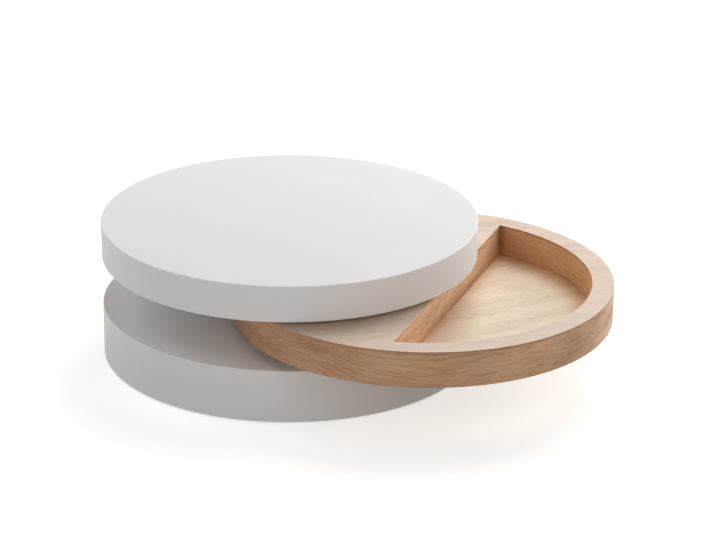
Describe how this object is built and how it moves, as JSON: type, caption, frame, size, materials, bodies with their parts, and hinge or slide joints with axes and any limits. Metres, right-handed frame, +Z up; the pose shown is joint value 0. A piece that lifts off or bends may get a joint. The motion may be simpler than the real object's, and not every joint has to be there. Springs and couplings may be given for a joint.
{
  "type": "swivel coffee table",
  "caption": "Round swivel coffee table: a white drum base and a white top, with a natural oak tray between them that swings out on an off-centre pivot to open a D-shaped pocket.",
  "frame": {"origin": "centre of the round drum base, on the floor (the underside of its middle glide)", "axes": "+Z up; +X from the drum's centre through the pivot, close to the way the opened tray reaches; +Y across"},
  "size_m": [1.2432, 0.9162, 0.336],
  "materials": {
    "white_lacquer": "satin white lacquer on MDF",
    "natural_oak": "matt clear-finished natural oak, fine straight grain",
    "raw_board": "raw MDF and bent board, unfinished",
    "birch_plywood": "laminated birch plywood, unfinished",
    "black_steel": "black powder coat on steel",
    "bearing_steel": "ground bright steel",
    "zinc_steel": "bright zinc-plated steel",
    "brass_insert": "turned brass",
    "white_nylon": "natural nylon",
    "grey_nylon": "grey nylon, lightly textured"
  },
  "bodies": {
    "base": {"base_top_panel": "white_lacquer", "base_side_band": "white_lacquer", "base_bottom_panel": "white_lacquer", "base_long_ribs": "raw_board", "base_cross_ribs": "raw_board", "base_pivot_block": "birch_plywood", "base_inserts": "brass_insert", "base_glides": "grey_nylon", "base_access_plug": "grey_nylon", "lower_flange": "black_steel", "lower_flange_screws": "zinc_steel", "pivot_column": "bearing_steel", "tie_bolt": "zinc_steel", "tie_washer": "zinc_steel", "bearing_lower_race": "bearing_steel", "upper_flange": "black_steel", "upper_flange_screws": "zinc_steel", "anti_lift_washer": "white_nylon", "top_inserts": "brass_insert", "top_lower_panel": "white_lacquer", "top_side_band": "white_lacquer", "top_upper_panel": "white_lacquer", "top_long_ribs": "raw_board", "top_cross_ribs": "raw_board", "top_pivot_block": "birch_plywood"},
    "tray": {"tray_floor_panel": "natural_oak", "tray_deck": "natural_oak", "tray_outer_band": "raw_board", "tray_edge_lipping": "natural_oak", "tray_pocket_wall": "raw_board", "tray_divider": "raw_board", "tray_pocket_lining": "natural_oak", "tray_rim_blocks": "raw_board", "tray_long_ribs": "raw_board", "tray_cross_ribs": "raw_board", "tray_pivot_block": "birch_plywood", "tray_inserts": "brass_insert", "tray_hub": "black_steel", "hub_screws": "zinc_steel", "hub_bush_lower": "white_nylon", "hub_bush_upper": "white_nylon", "bearing_upper_race": "bearing_steel"},
    "ball_cage": {"bearing_cage": "bearing_steel", "bearing_balls": "bearing_steel"}
  },
  "joints": [
    {"name": "tray_swivel", "type": "hinge", "parent": "base", "child": "tray", "pos_m": [0.172, 0, 0.1415], "axis": [0, 0, 1], "continuous": true},
    {"name": "cage_turn", "type": "hinge", "parent": "base", "child": "ball_cage", "pos_m": [0.172, 0, 0.1415], "axis": [0, 0, 1], "continuous": true}
  ],
  "couplings": [
    {"joint": "cage_turn", "follows": "tray_swivel", "ratio": 0.5}
  ]
}
